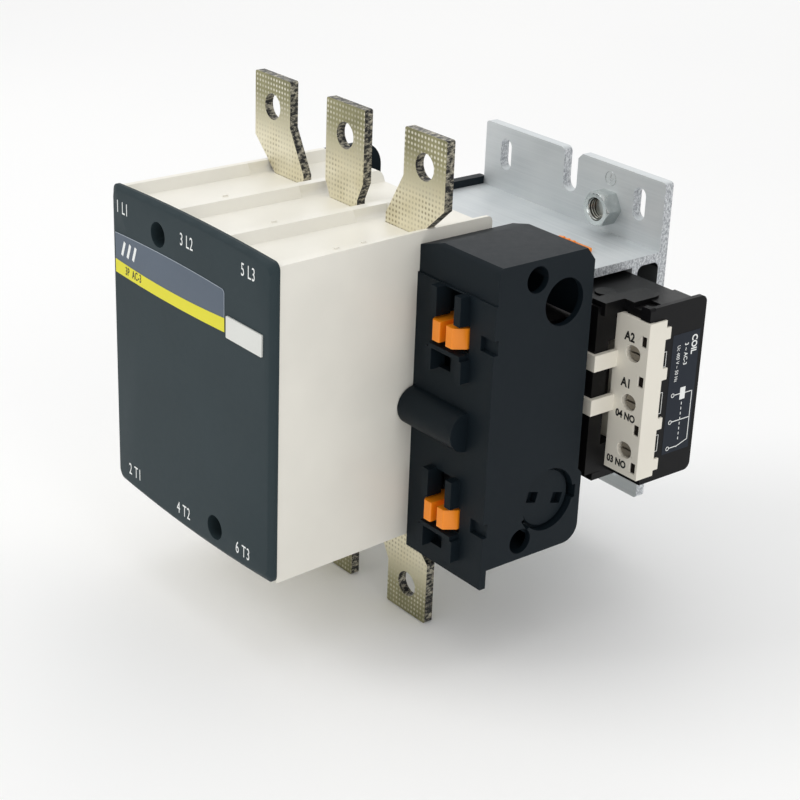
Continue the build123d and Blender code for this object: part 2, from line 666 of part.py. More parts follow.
def cap_socket(body):
    """Adds the blind socket of the locking cap, with a groove and two ways for its lugs."""
    floor, shoulder = CAP_LEFT - 0.6, CAP_RIGHT - 1.6
    groove_right = CAP_LEFT + 1.8
    wall = rod_x(floor + 0.4, COVER2_RIGHT - MODULE_WALL, CAP_Y, CAP_Z, 15.2)
    body += wall & block(BLOCK_RIGHT, COVER2_RIGHT, COVER2_FRONT, COVER2_REAR, COVER2_BOTTOM, COVER2_TOP)
    for left, right, radius in ((floor, COVER2_RIGHT + CUT, 11.7), (shoulder, COVER2_RIGHT + CUT, 12.7),
                                (floor, groove_right, 14.0)):
        body -= rod_x(left, right, CAP_Y, CAP_Z, radius)
    for angle in (0, 215):
        body -= bayonet_lug(floor, COVER2_RIGHT + CUT, angle, 5.4, 13.9)
    return body


def side_profile():
    """Side outline in Y and Z: chamfered top, a step behind the cap, rounded lower rear corner."""
    outline = Polyline((COVER2_FRONT, COVER2_BOTTOM), (COVER2_FRONT, PANEL_TOP),
                       (COVER2_FRONT + 2.2, COVER2_TOP), (COVER2_REAR - 4.0, COVER2_TOP),
                       (COVER2_REAR, COVER2_TOP - 5.0), (COVER2_REAR, STEP_TOP),
                       (COVER2_REAR + STEP_DEPTH, STEP_TOP - STEP_DEPTH),
                       (COVER2_REAR + STEP_DEPTH, COVER2_BOTTOM), close=True)
    face = make_face(outline)
    corner = face.vertices().sort_by(Axis.X)[-2:].sort_by(Axis.Y)[0]
    return fillet(corner, 7.0)


def cover_shell():
    """Hollow shell whose top falls away on the left, with a way through for the cores."""
    left, right, wall = BLOCK_RIGHT, COVER2_RIGHT, MODULE_WALL
    outer = extrude(Plane.YZ.offset(left) * side_profile(), amount=right - left)
    fall_width, fall = 12.0, 3.6
    low_left = make_face(Polyline(
        (left - CUT, COVER2_TOP + CUT), (left + fall_width, COVER2_TOP + CUT),
        (left + fall_width, COVER2_TOP), (left, COVER2_TOP - fall),
        (left - CUT, COVER2_TOP - fall), close=True))
    outer -= front_plate(low_left, COVER2_FRONT - CUT, COVER2_REAR + CUT)
    inner = block(left + wall, right - wall, PANEL_REAR, COVER2_REAR - wall,
                  COVER2_BOTTOM + wall, COVER2_TOP - wall - 5.0)
    core_way = CORE_HALF_HEIGHT + 1.2
    rear_way = block(left + wall, CORE_RIGHT + CUT, PANEL_REAR, COVER2_REAR + STEP_DEPTH + CUT,
                     -core_way, core_way)
    return outer - inner - rear_way


def boss():
    """Half-round boss along X in the middle of the front panel."""
    rod = rod_x(BLOCK_RIGHT + 0.8, BOSS_RIGHT, COVER2_FRONT, BOSS_Z, BOSS_R)
    return rod & block(BLOCK_RIGHT, BOSS_RIGHT, COVER2_FRONT - BOSS_R - CUT, PANEL_REAR,
                       BOSS_Z - BOSS_R - CUT, BOSS_Z + BOSS_R + CUT)


def station_rails(zc):
    """Raised rails and ledge that locate one add-on block round its coupler."""
    front = COVER2_FRONT - RAIL_HEIGHT
    parts = []
    for side in (-1, 1):
        inner, outer = STATION_X + side * 5.0, STATION_X + side * 8.5
        parts.append(block(inner, outer, front, COVER2_FRONT, zc + 5.0, zc + 16.3))
        inner, outer = STATION_X + side * 6.7, STATION_X + side * 10.2
        parts.append(block(inner, outer, front, COVER2_FRONT, zc - 16.5, zc - 7.8))
    parts.append(block(STATION_X - 8.5, STATION_X + 9.0, front, COVER2_FRONT, zc - 7.8, zc - 6.0))
    return sum_of(parts)


def station_window(zc):
    """Openings through the panel at one seat: coupler window, slots and the side recess."""
    deep = PANEL_REAR + CUT
    proud = COVER2_FRONT - CUT
    window = block(STATION_X - 9.6, STATION_X + 9.6, proud, deep, zc - 5.4, zc + 5.0)
    upper = block(STATION_X - 5.0, STATION_X + 5.0, proud, deep, zc + 4.0, zc + 16.0)
    lower = block(STATION_X - 6.7, STATION_X, proud, deep, zc - 16.0, zc - 7.8)
    recess = block(COVER2_RIGHT - 7.2, COVER2_RIGHT + CUT, proud, COVER2_FRONT + 2.0,
                   zc - 2.0, zc + 3.8)
    return window + upper + lower + recess


def bayonet_lug(x0, x1, angle, width, reach):
    lug = block(x0, x1, 0, reach, -width / 2, width / 2)
    return Pos(0, CAP_Y, CAP_Z) * Rot(angle, 0, 0) * lug


def locking_cap():
    """Quarter-turn cap with two square key holes and two bayonet lugs."""
    cap = rod_x(CAP_LEFT, CAP_RIGHT, CAP_Y, CAP_Z, CAP_R)
    cap = chamfer(cap.edges().sort_by(Axis.X)[-1], 0.4)
    core = rod_x(CAP_LEFT - CUT, CAP_LEFT + 2.4, CAP_Y, CAP_Z, 9.0)
    for angle in (270, 125):
        cap += bayonet_lug(CAP_LEFT, CAP_LEFT + 1.6, angle, 4.8, 13.5) - core
    turned = Pos(CAP_RIGHT - 1.0, CAP_Y, CAP_Z) * Rot(-16, 0, 0)
    for side in (-1, 1):
        cap -= turned * Pos(0, side * KEY_OFFSET, 0) * Box(4.0, 5.0, 4.4)
    return cap


def magnet_cover_screws():
    head_left, head_right, shank_r = 38.3, 42.3, 2.0
    screws = []
    for z in MAGNET_SCREW_Z:
        head = rod_x(head_left, head_right, MAGNET_SCREW_Y, z, MAGNET_HEAD_R)
        head -= block(head_right - 1.3, head_right + CUT, MAGNET_SCREW_Y - 4.0, MAGNET_SCREW_Y + 4.0,
                      z - 0.6, z + 0.6)
        screws.append(head + rod_x(22.0, head_left, MAGNET_SCREW_Y, z, shank_r))
    return Compound(children=screws)


# ---------------------------------------------------------------- moving system
def contact_carrier():
    """Moulded crossbar through the poles, with a cage per pole and an upright in the cover."""
    left = POLE_X[0] - CAGE_HALF_WIDTH
    body = block(left, CARRIER_RIGHT, BEAM_FRONT, BEAM_REAR, -BEAM_HALF_HEIGHT, BEAM_HALF_HEIGHT)
    body += block(CORE_LEFT, CARRIER_RIGHT, BEAM_FRONT, BEAM_REAR, -14.0, 14.0)
    upright_half = 9.0
    body += block(STATION_X - upright_half, STATION_X + upright_half, BEAM_FRONT, UPRIGHT_REAR,
                  STATION_Z[1] - 4.6, STATION_Z[0] + 4.6)
    for x in POLE_X:
        body += carrier_cage(x)
    stem_way = 7.1
    body -= block(CORE_LEFT - CUT, CARRIER_RIGHT + CUT, -97.2, BEAM_REAR + CUT, -stem_way, stem_way)
    body -= rod_z(STATION_X, PIN_Y, -15.0, 15.0, PIN_R)
    for x in SPRING_X:
        body -= rod_y(x, BEAM_REAR - SPRING_SOCKET, BEAM_REAR + CUT, 0, SPRING_WELL_R)
    return body


def carrier_cage(x):
    """Frame in which one pole's bridge slides against its spring."""
    half_height = 5.0
    cage = block(x - CAGE_HALF_WIDTH, x + CAGE_HALF_WIDTH, CAGE_FRONT, BEAM_FRONT,
                 -half_height, half_height)
    return cage - block(x - CAGE_OPENING_HALF, x + CAGE_OPENING_HALF, CAGE_FRONT + CAGE_BAR,
                        BRIDGE_REAR, -half_height - CUT, half_height + CUT)


def core_profile(yoke_rear, yoke_front, face):
    """E-shaped lamination outline in Y and Z, legs pointing from the yoke to the pole face."""
    parts = Pos((yoke_rear + yoke_front) / 2, 0) * Rectangle(abs(yoke_rear - yoke_front),
                                                             2 * CORE_HALF_HEIGHT)
    legs = [(-CORE_HALF_HEIGHT, -OUTER_LEG), (-CENTRE_LEG, CENTRE_LEG), (OUTER_LEG, CORE_HALF_HEIGHT)]
    for low, high in legs:
        length = abs(face - yoke_front)
        parts += Pos((face + yoke_front) / 2, (low + high) / 2) * Rectangle(length, high - low)
    return parts


def armature_core():
    """Moving core with a stem that the pin joins to the crossbar."""
    stem_front, stem_half = -96.8, 7.0
    profile = core_profile(BEAM_REAR, ARMATURE_YOKE_FRONT, ARMATURE_FACE)
    profile += Pos((stem_front + BEAM_REAR) / 2, 0) * Rectangle(BEAM_REAR - stem_front, 2 * stem_half)
    core = extrude(Plane.YZ.offset(CORE_LEFT) * profile, amount=CARRIER_RIGHT - CORE_LEFT + SKIN)
    return core - rod_z(STATION_X, PIN_Y, -stem_half - CUT, stem_half + CUT, PIN_R)


def armature_pin():
    half_length = 13.6
    return rod_z(STATION_X, PIN_Y, -half_length, half_length, PIN_R)


def contact_bridge(x):
    bridge = block(x - BRIDGE_HALF_WIDTH, x + BRIDGE_HALF_WIDTH, BRIDGE_REAR - BRIDGE_THICK, BRIDGE_REAR,
                   -BRIDGE_HALF_LENGTH, BRIDGE_HALF_LENGTH)
    return fillet(bridge.edges().filter_by(Axis.Y), 2.0)


def contact_springs():
    springs = [coil_spring(x, CAGE_FRONT + CAGE_BAR, BRIDGE_REAR - BRIDGE_THICK, 4.4, 1.3, 6)
               for x in POLE_X]
    return Compound(children=springs)


def return_springs():
    springs = [coil_spring(x, BEAM_REAR - SPRING_SOCKET, SPRING_SEAT, 4.9, 1.4, 7) for x in SPRING_X]
    return Compound(children=springs)


def auxiliary_coupler(zc):
    """U-shaped drive clip: two flared prongs joined by a web that seats on the carrier."""
    front, flare, rear, web = -118.0, -113.6, BEAM_FRONT, 4.0
    inner, narrow, wide = 1.7, 5.6, 8.6
    half = make_face(Polyline((inner, front), (narrow, front), (wide, flare), (wide, rear), (0, rear),
                              (0, rear - web), (inner, rear - web), close=True))
    outline = half + mirror(half, about=Plane.YZ)
    clip = extrude(Plane.XY.offset(zc - 4.0) * outline, amount=8.0)
    return Pos(STATION_X, 0, 0) * fillet(clip.edges().filter_by(Axis.Z).sort_by(Axis.Y)[:4], 0.6)


# ---------------------------------------------------------------- electromagnet
def fixed_core():
    profile = core_profile(CORE_BACK, YOKE_FRONT, FIXED_FACE)
    core = extrude(Plane.YZ.offset(CORE_LEFT) * profile, amount=CORE_RIGHT - CORE_LEFT)
    return core - both_sides(shading_ring())


def shading_ring():
    """Rectangular copper ring sunk in one outer pole face."""
    edge = 1.0
    left, right = CORE_LEFT + edge, CORE_RIGHT - edge
    ring = block(left, right, FIXED_FACE, FIXED_FACE + RING_DEPTH, RING_LOW, RING_HIGH)
    return ring - block(left + RING_WIDTH, right - RING_WIDTH, FIXED_FACE - CUT,
                        FIXED_FACE + RING_DEPTH + CUT, RING_LOW + RING_WIDTH, RING_HIGH - RING_WIDTH)


def shading_rings():
    ring = shading_ring()
    return Compound(children=[ring, flipped(ring)])


def core_pads():
    pad = block(CORE_LEFT + 2.0, CORE_RIGHT - 2.0, CORE_BACK, CORE_BACK + PAD_THICK, PAD_LOW, PAD_HIGH)
    return Compound(children=[pad, flipped(pad)])


def bobbin_tube(y0, y1, grow):
    gap = TUBE_GAP + grow
    return block(CORE_LEFT - gap, CORE_RIGHT + gap, y0, y1, -CENTRE_LEG - gap, CENTRE_LEG + gap)


def winding_ends():
    """Left and right ends of the winding, as thick there as above the centre leg."""
    inner = TUBE_GAP + TUBE_WALL
    thick = WINDING_HALF_HEIGHT - CENTRE_LEG - inner
    return CORE_LEFT - inner - thick, CORE_RIGHT + inner + thick


def coil_bobbin():
    left, right = winding_ends()
    edge = 0.6
    body = bobbin_tube(FLANGE_FRONT, FLANGE_REAR, TUBE_WALL)
    for y in (FLANGE_FRONT, FLANGE_REAR - FLANGE_THICK):
        body += block(left - edge, right + edge, y, y + FLANGE_THICK,
                      -WINDING_HALF_HEIGHT - edge, WINDING_HALF_HEIGHT + edge)
    return body - bobbin_tube(FLANGE_FRONT - CUT, FLANGE_REAR + CUT, 0)


def coil_winding():
    left, right = winding_ends()
    front, rear = FLANGE_FRONT + FLANGE_THICK, FLANGE_REAR - FLANGE_THICK
    body = block(left, right, front, rear, -WINDING_HALF_HEIGHT, WINDING_HALF_HEIGHT)
    body = fillet(body.edges().filter_by(Axis.Y), WINDING_CORNER)
    return body - bobbin_tube(front - CUT, rear + CUT, TUBE_WALL)


# ---------------------------------------------------------------- coil unit
def coil_housing():
    """Moulded case round the fixed core and the winding, sliding in the profile's channel."""
    rear = INNER_WALL_FRONT - FIT
    collar_front, step = -56.0, COIL_FRONT + CUT
    body = block(COIL_LEFT, COIL_WAIST, COIL_FRONT, rear, COIL_BOTTOM, COIL_TOP)
    body += block(DECK_LEFT, COIL_WAIST, COIL_FRONT, YOKE_FRONT, COIL_TOP - SKIN, COIL_CREST)
    body += both_sides(block(CORE_LEFT, COIL_WAIST, collar_front, step, CORE_HALF_HEIGHT + FIT,
                             COIL_CREST))
    body += block(CORE_RIGHT + 0.3, COIL_WAIST, -60.0, step, -CORE_HALF_HEIGHT, COIL_CREST)
    body += block(COIL_WAIST - SKIN, COIL_RIGHT, STRIP_REAR, rear, -34.0, 34.0)
    body += coil_top()
    return body - core_room() - screw_room() + screw_posts()


def core_room():
    """Space for the fixed core, its pads and the winding."""
    room_half = CORE_HALF_HEIGHT + FIT
    core = block(CORE_LEFT - FIT, CORE_RIGHT + FIT, -61.0, CORE_BACK, -room_half, room_half)
    pads = block(CORE_LEFT, CORE_RIGHT, CORE_BACK - CUT, CORE_BACK + PAD_THICK,
                 -PAD_HIGH - 1.0, PAD_HIGH + 1.0)
    left, right = winding_ends()
    coil_half = WINDING_HALF_HEIGHT + 0.9
    coil = block(left - 1.0, right + 1.0, COIL_FRONT - CUT, FLANGE_REAR + SKIN, -coil_half, coil_half)
    return core + pads + coil


def screw_room():
    """Space behind the terminal strip for the clamps and the ends of the winding."""
    return block(winding_ends()[1] + 0.8, COIL_RIGHT - 1.5, -50.0, -41.5, -27.0, 25.0)


def coil_top():
    """Round boss, long round-ended bar and stepped block on top of the case."""
    high, base, rear = 38.2, COIL_TOP - 1.4, -24.0
    boss_top = rod_z(66.5, -46.5, base + CUT, 36.8, 4.0)
    bar = block(72.0, 79.0, -58.5, -47.0, base, high) + block(74.5, 84.0, -48.6, -33.5, base + CUT, high)
    bar = fillet(bar.edges().filter_by(Axis.Z).sort_by(Axis.Y)[-2:], 3.6)
    step_left = 81.0
    step = block(step_left, NOSE_LEFT - FIT, -48.4, rear, base, COIL_CREST)
    step += block(NOSE_LEFT - CUT, COIL_RIGHT, STRIP_REAR, rear, base, COIL_CREST)
    plateau = block(step_left, COIL_RIGHT - 1.5, -40.0, rear, COIL_CREST - FIT, COIL_CREST + 1.2)
    return boss_top + bar + step + plateau


def screw_posts():
    """Pillars behind the clamps that the coil screws bite into."""
    half = 3.0
    posts = [block(SCREW_X - 2.7, COIL_RIGHT - 1.5, CLAMP_REAR, -41.0, z - half, z + half)
             - rod_y(SCREW_X, -44.0, -40.0, z, SCREW_SHANK_R + 0.1) for z in SCREW_Z]
    return sum_of(posts)


def coil_terminal_block():
    """Moulded terminal strip: front plate, side return with teeth and two hooked arms."""
    side_left, side_rear = STRIP_RIGHT - 1.0, -41.0
    body = block(COIL_WAIST, STRIP_RIGHT, STRIP_FRONT, STRIP_REAR, STRIP_BOTTOM, STRIP_TOP)
    body += block(side_left, STRIP_RIGHT, STRIP_FRONT, side_rear, STRIP_BOTTOM, STRIP_TOP)
    tooth_half = 2.4
    for z in STRIP_TEETH_Z:
        body += block(side_left, STRIP_RIGHT, side_rear - SKIN, side_rear + 2.5,
                      z - tooth_half, z + tooth_half)
    for z in TAB_Z:
        body += hooked_arm(z)
    for z in SCREW_Z:
        hole = Pos(SCREW_X, z) * SlotOverall(7.4, 6.4)
        body -= front_plate(hole, STRIP_FRONT - CUT, STRIP_REAR + CUT)
    window_half = 2.1
    for z in WINDOW_Z:
        body -= block(90.7, 93.3, STRIP_FRONT - CUT, STRIP_REAR + CUT, z - window_half, z + window_half)
    return body


def hooked_arm(z):
    """Arm that runs forwards from the strip and hooks to the left."""
    front, right, half = -61.5, COIL_WAIST + 2.0, 3.3
    arm = block(COIL_WAIST, right, front, STRIP_REAR, z - half, z + half)
    return arm + block(72.6, right, front, front + 1.5, z - half, z + half)


def coil_terminal_screws():
    head_length = CLAMP_FRONT - SCREW_HEAD_FRONT
    screws = [cheese_head_screw(SCREW_X, z, SCREW_HEAD_FRONT, SCREW_HEAD_R, head_length, SCREW_SHANK_R,
                                -41.5, slot=0.8) for z in SCREW_Z]
    return Compound(children=screws)


def coil_terminal_clamps():
    half_width, half_height = 2.7, 2.8
    clamps = []
    for z in SCREW_Z:
        plate = block(SCREW_X - 2.6, SCREW_X - 2.6 + 2 * half_width, CLAMP_FRONT, CLAMP_REAR,
                      z - half_height, z + half_height)
        clamps.append(plate - rod_y(SCREW_X, CLAMP_FRONT - CUT, CLAMP_REAR + CUT, z, SCREW_SHANK_R + 0.1))
    return Compound(children=clamps)


def coil_label_plate():
    plate = block(COIL_RIGHT, PLATE_RIGHT, STRIP_REAR, -19.4, -34.0, NOSE_HIGH)
    rear_corners = plate.edges().filter_by(Axis.X).sort_by(Axis.Y)[-2:]
    plate = fillet(rear_corners, 3.0)
    nose = block(NOSE_LEFT, PLATE_RIGHT, STRIP_FRONT + SKIN, STRIP_REAR, NOSE_LOW, NOSE_HIGH)
    return plate + fillet(nose.edges().filter_by(Axis.Y).sort_by(Axis.Z)[-2:], 1.2)


# ---------------------------------------------------------------- build
def all_pieces():
    """Every node's name with its solid, or its group of like solids."""
    pieces = {
        "base_extrusion": base_extrusion(),
        "earth_stud": earth_stud(),
        "earth_nut": earth_nut(),
        "left_end_plate": left_end_plate(),
        "coil_latch": coil_latch(),
        "pole_base": pole_base(),
        "base_screws": base_screws(),
        "pole_housing": pole_housing(),
        "terminal_screws": terminal_screws(),
        "fixed_contact_tips": contact_pads(TERMINAL_FRONT - TIP_THICK, TERMINAL_FRONT),
        "moving_contact_tips": contact_pads(BRIDGE_REAR, BRIDGE_REAR + TIP_THICK),
        "arc_chute_boards": arc_chute_boards(),
        "front_cover": front_cover(),
        "cover_screws": cover_screws(),
        "front_label": front_label(),
        "marker_plate": marker_plate(),
        "magnet_cover": magnet_cover(),
        "magnet_cover_screws": magnet_cover_screws(),
        "locking_cap": locking_cap(),
        "contact_carrier": contact_carrier(),
        "armature_core": armature_core(),
        "armature_pin": armature_pin(),
        "contact_springs": contact_springs(),
        "return_springs": return_springs(),
        "auxiliary_coupler_upper": auxiliary_coupler(STATION_Z[0]),
        "auxiliary_coupler_lower": auxiliary_coupler(STATION_Z[1]),
        "fixed_core": fixed_core(),
        "shading_rings": shading_rings(),
        "core_pads": core_pads(),
        "coil_bobbin": coil_bobbin(),
        "coil_winding": coil_winding(),
        "coil_housing": coil_housing(),
        "coil_terminal_block": coil_terminal_block(),
        "coil_terminal_screws": coil_terminal_screws(),
        "coil_terminal_clamps": coil_terminal_clamps(),
        "coil_label_plate": coil_label_plate(),
    }
    for index, x in enumerate(POLE_X):
        pieces[f"line_terminal_{index + 1}"] = terminal(index)
        pieces[f"load_terminal_{index + 1}"] = flipped(terminal(index))
        pieces[f"arc_chute_{index + 1}"] = arc_chute(x)
        pieces[f"contact_bridge_{index + 1}"] = contact_bridge(x)
    return pieces


os.makedirs("parts", exist_ok=True)
for name, shape in all_pieces().items():
    export_step(shape, f"parts/{name}.step")
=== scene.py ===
import json
import math

import bmesh
import bpy
from mathutils import Matrix, Vector


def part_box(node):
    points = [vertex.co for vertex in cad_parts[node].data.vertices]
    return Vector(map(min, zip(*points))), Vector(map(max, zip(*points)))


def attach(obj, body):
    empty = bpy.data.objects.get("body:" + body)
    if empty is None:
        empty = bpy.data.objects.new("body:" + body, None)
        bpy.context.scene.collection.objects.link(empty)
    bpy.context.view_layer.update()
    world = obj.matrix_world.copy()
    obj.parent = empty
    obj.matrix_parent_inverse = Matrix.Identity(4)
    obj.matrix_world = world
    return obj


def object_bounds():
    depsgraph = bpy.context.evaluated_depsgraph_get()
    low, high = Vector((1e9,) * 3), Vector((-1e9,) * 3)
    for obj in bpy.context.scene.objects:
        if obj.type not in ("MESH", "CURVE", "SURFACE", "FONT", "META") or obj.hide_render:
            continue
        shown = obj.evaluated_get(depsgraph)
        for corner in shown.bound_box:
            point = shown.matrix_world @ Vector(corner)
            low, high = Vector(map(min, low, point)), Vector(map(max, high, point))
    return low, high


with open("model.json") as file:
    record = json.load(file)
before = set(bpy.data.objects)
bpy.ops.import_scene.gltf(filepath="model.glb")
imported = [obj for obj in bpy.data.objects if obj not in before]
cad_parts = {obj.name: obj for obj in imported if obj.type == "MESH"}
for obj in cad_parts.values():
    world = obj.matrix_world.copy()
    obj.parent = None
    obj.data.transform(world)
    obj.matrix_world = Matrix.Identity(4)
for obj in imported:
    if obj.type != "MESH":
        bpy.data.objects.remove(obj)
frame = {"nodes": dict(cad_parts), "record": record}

MM = 0.001
CAD_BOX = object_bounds()
PRINT_THICK = 0.06 * MM
THREAD_PITCH = 1.25 * MM                        # earth stud and nut
DOT_PITCH = {"X": 1.9 * MM, "Z": 2.0 * MM}      # pressed dots on the terminals
LAMINATION = 0.5 * MM                           # sheets of the cores
WIRE_PITCH = 0.6 * MM                           # turns of the coil


# ---------------------------------------------------------------- node helpers
class Nodes:
    """Short calls for building one material's node tree."""

    def __init__(self, name):
        self.material = bpy.data.materials.new(name)
        self.material.use_nodes = True
        self.tree = self.material.node_tree
        self.shader = self.tree.nodes["Principled BSDF"]
        self.place = self.add("ShaderNodeTexCoord").outputs["Object"]

    def add(self, kind, **settings):
        """New node of a kind, with its settings."""
        node = self.tree.nodes.new(kind)
        for key, value in settings.items():
            setattr(node, key, value)
        return node

    def link(self, source, target):
        self.tree.links.new(source, target)

    def math(self, operation, first, second=None):
        """Result of a maths node on numbers or other nodes' outputs."""
        node = self.add("ShaderNodeMath", operation=operation)
        for socket, value in zip(node.inputs, (first, second)):
            if value is None:
                continue
            if isinstance(value, (int, float)):
                socket.default_value = value
            else:
                self.link(value, socket)
        return node.outputs[0]

    def axes(self, vector=None):
        """X, Y and Z of a vector, or of the object coordinates."""
        node = self.add("ShaderNodeSeparateXYZ")
        self.link(vector or self.place, node.inputs[0])
        return node.outputs

    def facing(self, axis, low, high):
        """1 where a face looks along an axis, either way, and 0 where it doesn't."""
        normal = self.axes(self.add("ShaderNodeNewGeometry").outputs["Normal"])
        return self.ramp(self.math("ABSOLUTE", normal[axis]), low, high)

    def thread(self, pitch):
        """Wave along Y with a pitch, from -1 to 1."""
        return self.math("SINE", self.math("MULTIPLY", self.axes()["Y"], 2 * math.pi / pitch))

    def stretched(self, scale):
        """Object coordinates stretched along each axis."""
        mapping = self.add("ShaderNodeMapping")
        mapping.inputs["Scale"].default_value = scale
        self.link(self.place, mapping.inputs["Vector"])
        return mapping.outputs["Vector"]

    def noise(self, scale, detail=2.0, roughness=0.5, place=None):
        """Noise from 0 to 1 over the object coordinates, or over another vector."""
        node = self.add("ShaderNodeTexNoise")
        node.inputs["Scale"].default_value = scale
        node.inputs["Detail"].default_value = detail
        node.inputs["Roughness"].default_value = roughness
        self.link(place or self.place, node.inputs["Vector"])
        return node.outputs["Fac"]

    def ramp(self, value, low, high, start=0.0, end=1.0):
        """Maps low..high of a value to start..end, held beyond them."""
        node = self.add("ShaderNodeMapRange")
        for key, number in zip(("From Min", "From Max", "To Min", "To Max"), (low, high, start, end)):
            node.inputs[key].default_value = number
        self.link(value, node.inputs["Value"])
        return node.outputs["Result"]

    def mix(self, factor, first, second):
        """Colour between two colours; each is a tuple or another node's output."""
        node = self.add("ShaderNodeMix", data_type="RGBA")
        self.link(factor, node.inputs["Factor"])
        for socket, value in ((node.inputs["A"], first), (node.inputs["B"], second)):
            if isinstance(value, tuple):
                socket.default_value = (*value, 1.0)
            else:
                self.link(value, socket)
        return node.outputs["Result"]

    def bump(self, height, strength, depth, under=None):
        """Normal bent by a height, on top of another bump if one is given."""
        node = self.add("ShaderNodeBump")
        node.inputs["Strength"].default_value = strength
        node.inputs["Distance"].default_value = depth
        self.link(height, node.inputs["Height"])
        if under is not None:
            self.link(under, node.inputs["Normal"])
        return node.outputs["Normal"]

    def finish(self, colour, roughness, normal=None, **fixed):
        """Connects the shader; the fixed values are set on its own sockets."""
        self.link(colour, self.shader.inputs["Base Color"])
        self.link(roughness, self.shader.inputs["Roughness"])
        if normal is not None:
            self.link(normal, self.shader.inputs["Normal"])
        for key, value in fixed.items():
            self.shader.inputs[key.replace("_", " ")].default_value = value
        return self.material


def srgb(red, green, blue):
    """Linear colour from 0 to 255 display values."""
    def linear(channel):
        share = channel / 255
        return share / 12.92 if share <= 0.04045 else ((share + 0.055) / 1.055) ** 2.4
    return tuple(linear(channel) for channel in (red, green, blue))


def shade(colour, factor):
    """Colour made lighter or darker by a factor."""
    return tuple(channel * factor for channel in colour)


# ---------------------------------------------------------------- materials
def moulded_plastic(name, colour, roughness, grain=0.12, mottle=0.04, **fixed):
    """Moulded plastic: fine spark-eroded grain, faint flow marks and a slightly uneven gloss."""
    n = Nodes(name)
    flow = n.noise(28.0, 3.0)
    flowed = n.mix(n.ramp(flow, 0.35, 0.65), shade(colour, 1 - mottle), shade(colour, 1 + mottle))
    fine = n.noise(2600.0, 2.0)
    scuffs = n.noise(300.0, 4.0, 0.7)
    gloss = n.ramp(scuffs, 0.3, 0.7, roughness - 0.02, roughness + 0.03)
    wavy = n.bump(n.noise(40.0, 1.0), 0.12, 0.0003)
    normal = n.bump(fine, grain, 0.00012, wavy)
    return n.finish(flowed, gloss, normal, **fixed)


def extruded_aluminium():
    """Drawn surface with faint lines along X, rough sawn ends, and painted shade on the walls in the
    closed void.
    """
    n = Nodes("extruded_aluminium")
    lines = n.noise(1.0, 5.0, 0.65, n.stretched((10.0, 700.0, 700.0)))
    cloud = n.noise(38.0, 3.0)
    tone = n.mix(n.ramp(cloud, 0.3, 0.7), srgb(194, 200, 203), srgb(214, 218, 219))
    drawn = n.mix(n.ramp(lines, 0.3, 0.9), tone, srgb(220, 224, 225))
    speck = n.noise(1.0, 6.0, 0.8, n.stretched((600.0, 1000.0, 700.0)))
    sawn = n.mix(n.ramp(speck, 0.42, 0.58), srgb(150, 154, 160), srgb(226, 229, 231))
    ends = n.facing("X", 0.6, 0.9)
    # painted shade: the walls in the closed void are made near black, where shade falls
    dark = n.math("MULTIPLY", painted_void_shade(n), n.math("SUBTRACT", 1.0, ends))
    colour = n.mix(dark, n.mix(ends, drawn, sawn), srgb(38, 39, 41))
    gloss = n.ramp(cloud, 0.3, 0.7, 0.46, 0.6)
    grain = n.bump(n.noise(1900.0, 2.0), 0.18, 0.00008)
    height = n.math("MULTIPLY", speck, ends)
    normal = n.bump(height, 0.5, 0.0002, n.bump(lines, 0.03, 0.00005, grain))
    return n.finish(colour, gloss, normal, Metallic=0.45)


def painted_void_shade(n):
    """Mask of the painted shade: 1 within the closed void between the profile's plate and inner wall, and
    0 outside it.
    """
    front, rear, half_height = -17 * MM, -4.5 * MM, 37 * MM
    place = n.axes()
    behind = n.ramp(place["Y"], front, front + 0.5 * MM)
    before = n.ramp(place["Y"], rear + 0.4 * MM, rear)
    middle = n.ramp(n.math("ABSOLUTE", place["Z"]), half_height, half_height - 0.3 * MM)
    return n.math("MULTIPLY", n.math("MULTIPLY", behind, before), middle)


def tinned_copper():
    """Tin plate with a painted darker reflection towards the tips, over pressed dots, with rough sheared
    edges.
    """
    n = Nodes("tinned_copper")
    place = n.axes()
    cells = []
    for axis, pitch in DOT_PITCH.items():
        share = n.math("FRACT", n.math("DIVIDE", place[axis], pitch))
        cells.append(n.math("POWER", n.math("SUBTRACT", share, 0.5), 2.0))
    away = n.math("SQRT", n.math("ADD", *cells))
    broad = n.facing("Y", 0.7, 0.95)
    wear = n.ramp(n.noise(70.0, 3.0), 0.4, 0.62, 0.35, 1.0)
    dent = n.math("MULTIPLY", n.math("MULTIPLY", n.ramp(away, 0.36, 0.16), broad), wear)
    cloud = n.noise(95.0, 4.0, 0.6)
    bright = n.mix(n.ramp(cloud, 0.3, 0.7), srgb(222, 214, 184), srgb(238, 232, 208))
    # painted reflection: the tone turns darker towards the tips, in place of a darker reflection there
    painted_dark_tip = n.mix(n.ramp(cloud, 0.3, 0.7), srgb(120, 118, 84), srgb(162, 158, 122))
    reach = n.math("ADD", n.math("ABSOLUTE", place["Z"]), n.math("MULTIPLY", cloud, 14 * MM))
    tip = n.ramp(reach, 80 * MM, 98 * MM)
    mark = n.mix(tip, srgb(146, 134, 100), srgb(244, 240, 224))
    face = n.mix(n.math("MULTIPLY", dent, 0.8), n.mix(tip, bright, painted_dark_tip), mark)
    shear = n.noise(1.0, 4.0, 0.7, n.stretched((900.0, 420.0, 800.0)))
    edge = n.mix(n.ramp(shear, 0.46, 0.66), srgb(46, 46, 46), srgb(196, 190, 170))
    colour = n.mix(broad, edge, face)
    gloss = n.ramp(cloud, 0.3, 0.7, 0.36, 0.52)
    rough = n.bump(n.math("MULTIPLY", shear, n.math("SUBTRACT", 1.0, broad)), 0.4, 0.0003)
    smear = n.bump(n.noise(420.0, 3.0), 0.15, 0.0001, rough)
    normal = n.bump(n.math("MULTIPLY", dent, -1.0), 0.6, 0.0002, smear)
    return n.finish(colour, gloss, normal, Metallic=0.62)


